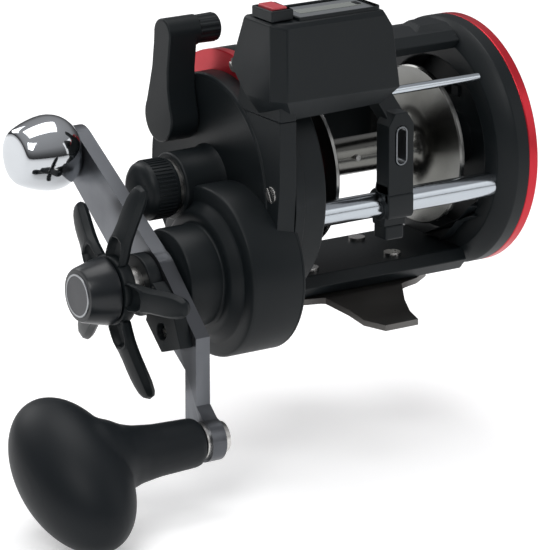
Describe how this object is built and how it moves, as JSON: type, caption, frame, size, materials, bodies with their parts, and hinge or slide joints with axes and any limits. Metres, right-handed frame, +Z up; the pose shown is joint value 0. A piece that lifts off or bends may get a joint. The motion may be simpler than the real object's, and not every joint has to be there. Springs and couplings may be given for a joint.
{
  "type": "fishing reel",
  "caption": "Right-handed trolling reel with level wind, line counter, star drag, clutch lever and a counterweighted power handle.",
  "frame": {"origin": "centre of the foot's seat: the plane that the two end tabs of the foot stand on, midway between them", "axes": "+X along the spool from the handle to the palm plate, -Y towards where the line leaves, +Z up from the foot to the counter"},
  "size_m": [0.18, 0.1023, 0.1347],
  "materials": {
    "black_moulding": "satin black moulding",
    "red_anodised": "red satin anodising",
    "red_button": "soft red plastic",
    "polished_steel": "polished",
    "screw_steel": "turned steel",
    "foot_metal": "dark satin",
    "spool_metal": "dark brushed",
    "bearing_steel": "ground",
    "gear_brass": "machined",
    "drag_fabric": "woven fibre washers",
    "handle_metal": "dark anodised, light satin face",
    "chrome_weight": "mirror chrome",
    "soft_grip": "soft-touch",
    "badge_metal": "satin disc with a bright rim",
    "bezel_grey": "grey satin",
    "clear_window": "clear",
    "display_glass": "reflective display",
    "circuit_board": "lacquered board"
  },
  "bodies": {
    "reel_frame": {"main_frame": "black_moulding", "reel_foot": "foot_metal", "foot_rivets": "screw_steel", "palm_side_plate": "black_moulding", "palm_rim": "red_anodised", "gear_side_plate": "red_anodised", "plate_screws": "screw_steel", "spool_bearings": "bearing_steel", "gear_housing": "black_moulding", "main_bearing": "bearing_steel", "cover_screws": "screw_steel", "tension_washers": "screw_steel", "counter_case": "black_moulding", "counter_bezel": "bezel_grey", "counter_window": "clear_window", "counter_board": "circuit_board", "counter_battery": "circuit_board", "counter_display": "display_glass", "level_wind_tube": "polished_steel", "worm_bushes": "gear_brass", "guide_rod": "polished_steel", "dog_pin": "screw_steel"},
    "handle": {"main_shaft": "screw_steel", "drive_gear": "gear_brass", "wind_gear": "gear_brass", "drag_washers": "drag_fabric", "drag_plates": "bearing_steel", "ratchet_wheel": "bearing_steel", "handle_bar": "handle_metal", "lock_block": "black_moulding", "lock_screw": "screw_steel", "handle_collar": "handle_metal", "star_nut": "gear_brass", "counterweight": "chrome_weight", "handle_nut": "screw_steel", "nut_cap": "black_moulding", "cap_badge": "badge_metal", "knob_spindle": "screw_steel", "knob_washers": "screw_steel"},
    "star": {"star_wheel": "black_moulding"},
    "knob": {"knob_grip": "soft_grip"},
    "spool": {"spool": "spool_metal", "spool_shaft": "screw_steel", "line_tie_pin": "screw_steel", "click_gear": "bearing_steel"},
    "yoke": {"clutch_yoke": "gear_brass"},
    "pinion": {"pinion_gear": "gear_brass"},
    "clutch": {"clutch_lever": "black_moulding", "clutch_cam": "gear_brass"},
    "worm": {"worm_shaft": "screw_steel", "worm_gear": "gear_brass"},
    "guide": {"line_guide": "black_moulding", "guide_ring": "polished_steel", "pawl": "gear_brass", "pawl_cap": "black_moulding"},
    "tension": {"tension_knob": "black_moulding"},
    "click": {"click_button": "black_moulding"},
    "dog": {"anti_reverse_dog": "bearing_steel"},
    "reset": {"reset_button": "red_button"}
  },
  "joints": [
    {"name": "handle_turn", "type": "hinge", "parent": "reel_frame", "child": "handle", "pos_m": [-0.0728, -0.016, 0.0204], "axis": [1, 0, 0], "continuous": true},
    {"name": "star_turn", "type": "hinge", "parent": "handle", "child": "star", "pos_m": [-0.0828, -0.016, 0.0204], "axis": [1, 0, 0], "range_deg": [-180, 180]},
    {"name": "knob_spin", "type": "hinge", "parent": "handle", "child": "knob", "pos_m": [-0.1118, -0.0435, -0.0171], "axis": [1, 0, 0], "continuous": true},
    {"name": "spool_spin", "type": "hinge", "parent": "reel_frame", "child": "spool", "pos_m": [0.0072, 0, 0.0414], "axis": [1, 0, 0], "continuous": true},
    {"name": "yoke_slide", "type": "slide", "parent": "reel_frame", "child": "yoke", "axis": [-1, 0, 0], "range_m": [0, 0.0018]},
    {"name": "pinion_spin", "type": "hinge", "parent": "yoke", "child": "pinion", "pos_m": [-0.0428, 0, 0.0414], "axis": [1, 0, 0], "continuous": true},
    {"name": "clutch_turn", "type": "hinge", "parent": "reel_frame", "child": "clutch", "pos_m": [-0.0468, 0.0107, 0.0585], "axis": [-1, 0, 0], "range_deg": [0, 40]},
    {"name": "worm_spin", "type": "hinge", "parent": "reel_frame", "child": "worm", "pos_m": [0.0072, -0.0275, 0.0349], "axis": [1, 0, 0], "continuous": true},
    {"name": "guide_slide", "type": "slide", "parent": "reel_frame", "child": "guide", "axis": [1, 0, 0], "range_m": [-0.013, 0.026]},
    {"name": "tension_turn", "type": "hinge", "parent": "reel_frame", "child": "tension", "pos_m": [-0.0608, 0, 0.0414], "axis": [1, 0, 0], "range_deg": [-180, 180]},
    {"name": "click_slide", "type": "slide", "parent": "reel_frame", "child": "click", "axis": [0, 1, 0], "range_m": [0, 0.004]},
    {"name": "dog_lift", "type": "hinge", "parent": "reel_frame", "child": "dog", "pos_m": [-0.043, -0.03, 0.0084], "axis": [1, 0, 0], "range_deg": [0, 12]},
    {"name": "reset_press", "type": "slide", "parent": "reel_frame", "child": "reset", "axis": [0, 0, -1], "range_m": [0, 0.001], "stiffness_N_per_m": 200}
  ],
  "couplings": [
    {"joint": "spool_spin", "follows": "handle_turn", "ratio": -5.1},
    {"joint": "pinion_spin", "follows": "handle_turn", "ratio": -5.1},
    {"joint": "worm_spin", "follows": "handle_turn", "ratio": -2.1429},
    {"joint": "yoke_slide", "follows": "clutch_turn", "m_per_rad": 0.0025783}
  ]
}
